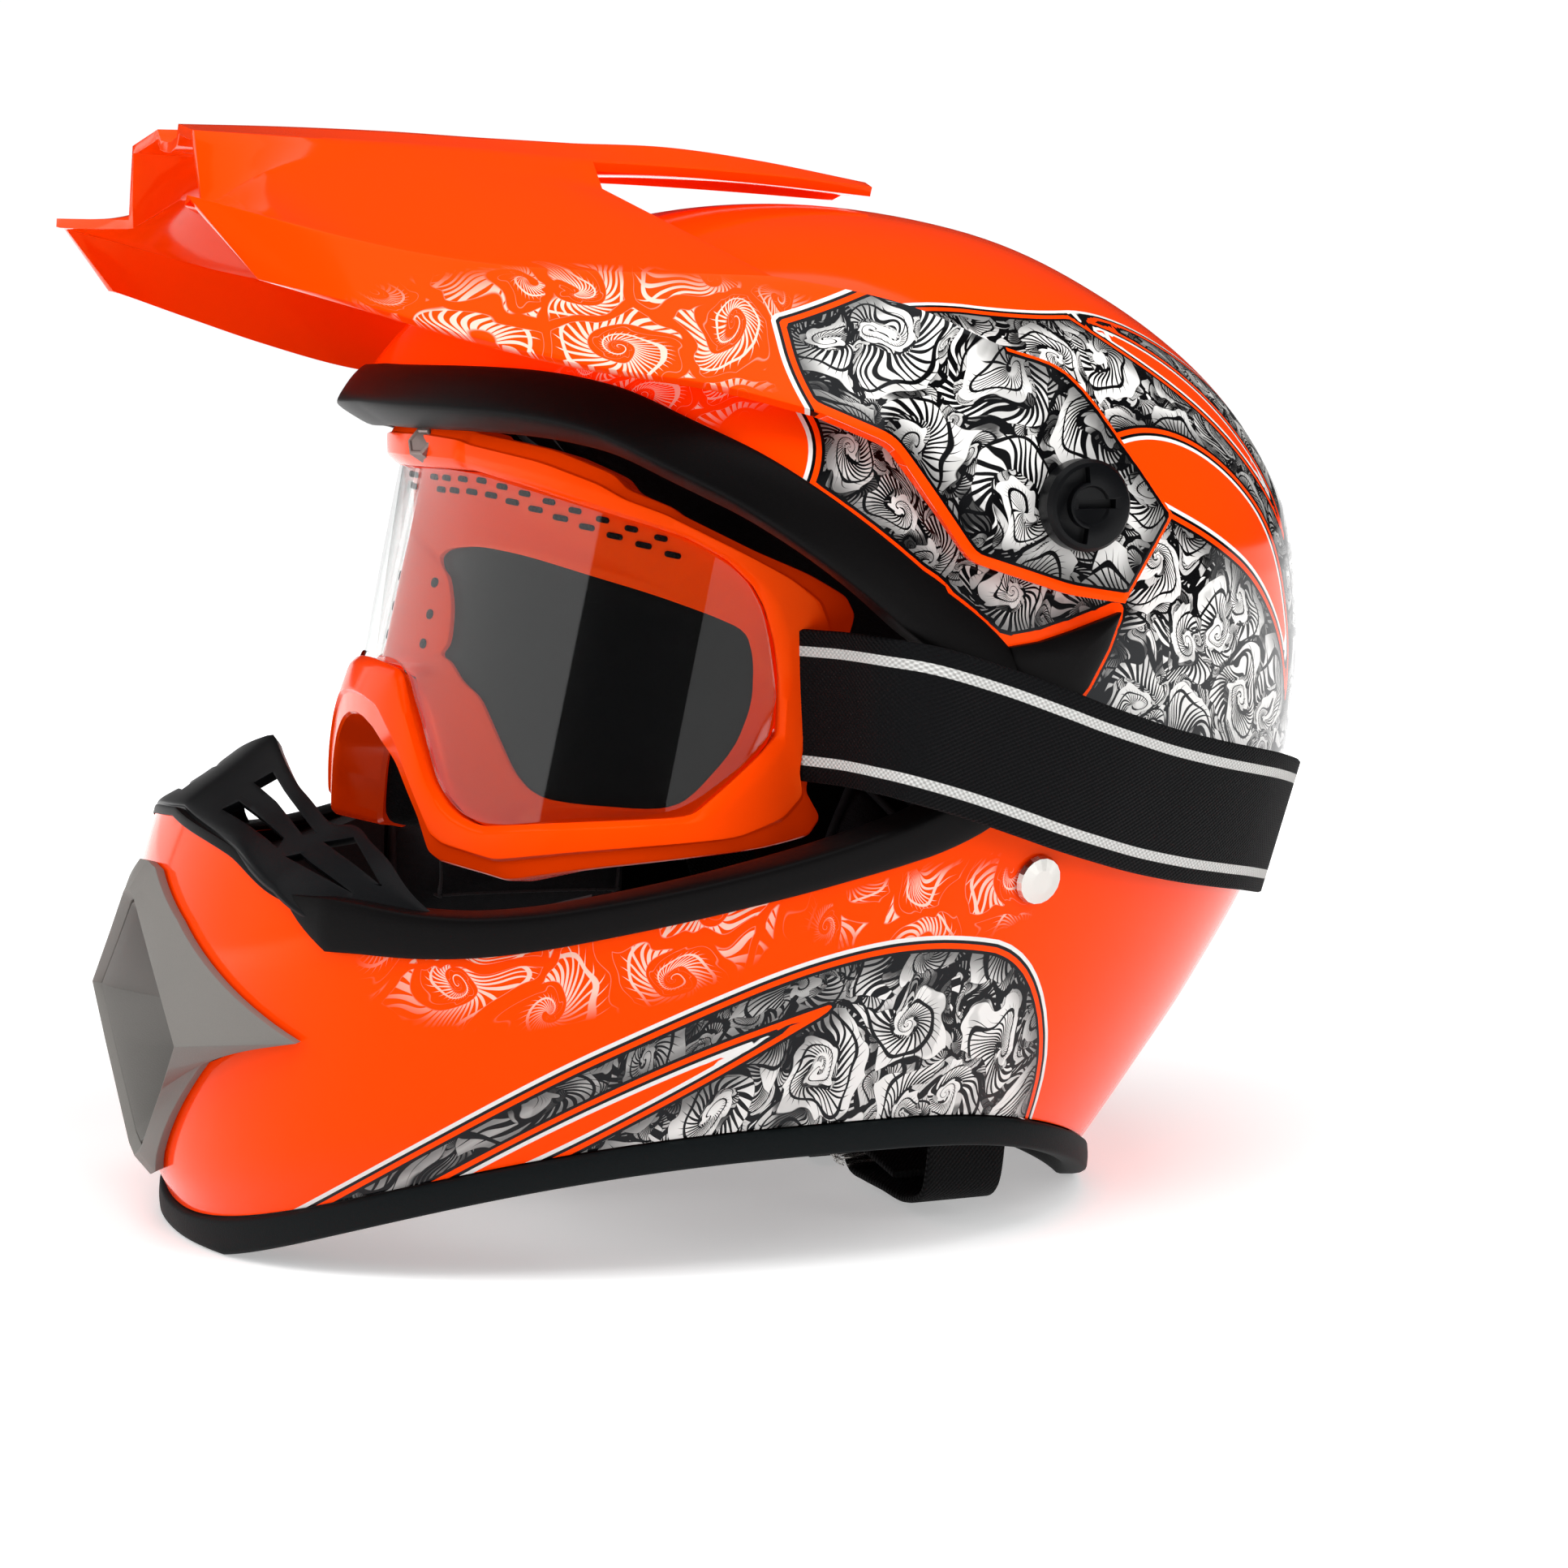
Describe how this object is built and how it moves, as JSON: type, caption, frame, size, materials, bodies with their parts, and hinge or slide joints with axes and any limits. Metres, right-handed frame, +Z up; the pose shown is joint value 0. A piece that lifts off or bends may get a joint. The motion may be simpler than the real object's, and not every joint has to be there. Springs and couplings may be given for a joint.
{
  "type": "motocross helmet",
  "caption": "Full-face off-road motorcycle helmet with a tilting sun peak on side knobs, vented chin bar, clear-lens goggles on an elastic strap, and a ring-buckle chin strap.",
  "frame": {"origin": "on the floor under the middle of the helmet's overall box, where it stands on its chin rim and nape rim", "axes": "+Z up, -Y the way the wearer faces, +X the wearer's left"},
  "size_m": [0.2818, 0.3268, 0.285],
  "materials": {
    "painted_shell": "glossy fluorescent orange lacquer with black and white scroll panels",
    "liner_foam": null,
    "lining_fabric": "knitted lining over foam",
    "black_trim": "satin black moulded trim",
    "rim_rubber": "soft black rim rubber",
    "black_plastic": "satin black moulded plastic",
    "grey_plastic": "warm grey moulded plastic",
    "dark_grey_plastic": "warm dark grey moulded plastic",
    "goggle_plastic": "glossy orange moulded frame",
    "lens_clear": "clear thin lens",
    "face_foam": "black face foam",
    "bright_metal": "bright plated metal",
    "strap_webbing": "black woven webbing with white lines on the goggle strap"
  },
  "bodies": {
    "helmet": {"outer_shell": "painted_shell", "impact_liner": "liner_foam", "comfort_liner": "lining_fabric", "chin_foam": "liner_foam", "cheek_pad_left": "lining_fabric", "cheek_pad_right": "lining_fabric", "neck_roll": "lining_fabric", "eyeport_trim": "black_trim", "side_plate_left": "black_trim", "side_plate_right": "black_trim", "base_trim": "rim_rubber", "nose_guard": "black_plastic", "mouth_vent_frame": "grey_plastic", "mouth_vent_insert": "dark_grey_plastic", "mouth_vent_grille": "black_plastic", "peak_boss_left": "black_plastic", "peak_boss_right": "black_plastic", "goggle_strap": "strap_webbing", "chin_strap_left": "strap_webbing", "chin_strap_right": "strap_webbing", "chin_strap_rivet_left": "bright_metal", "chin_strap_rivet_right": "bright_metal"},
    "peak": {"peak": "painted_shell"},
    "knob_left": {"peak_screw_left": "black_plastic"},
    "knob_right": {"peak_screw_right": "black_plastic"},
    "goggles": {"goggle_frame": "goggle_plastic", "goggle_lens": "lens_clear", "goggle_foam": "face_foam", "goggle_badge": "bright_metal"},
    "ring_lower": {"d_ring_lower": "bright_metal"},
    "ring_upper": {"d_ring_upper": "bright_metal"}
  },
  "joints": [
    {"name": "peak_tilt", "type": "hinge", "parent": "helmet", "child": "peak", "pos_m": [0, 0.04225, 0.1915], "axis": [1, 0, 0], "range_deg": [-10, 5]},
    {"name": "knob_left_turn", "type": "hinge", "parent": "helmet", "child": "knob_left", "pos_m": [0.13, 0.04225, 0.1915], "axis": [1, 0, 0], "continuous": true},
    {"name": "knob_right_turn", "type": "hinge", "parent": "helmet", "child": "knob_right", "pos_m": [-0.13, 0.04225, 0.1915], "axis": [-1, 0, 0], "continuous": true},
    {"name": "goggles_pull", "type": "slide", "parent": "helmet", "child": "goggles", "axis": [0, -0.9578, -0.2873], "range_m": [0, 0.016], "stiffness_N_per_m": 350, "deforming": ["goggle_strap"]},
    {"name": "ring_lower_swing", "type": "hinge", "parent": "helmet", "child": "ring_lower", "pos_m": [0.0276, 0.03925, 0.0079], "axis": [0, 1, 0], "range_deg": [0, 70]},
    {"name": "ring_upper_swing", "type": "hinge", "parent": "helmet", "child": "ring_upper", "pos_m": [0.0308, 0.03925, 0.0107], "axis": [0, 1, 0], "range_deg": [0, 70]}
  ]
}
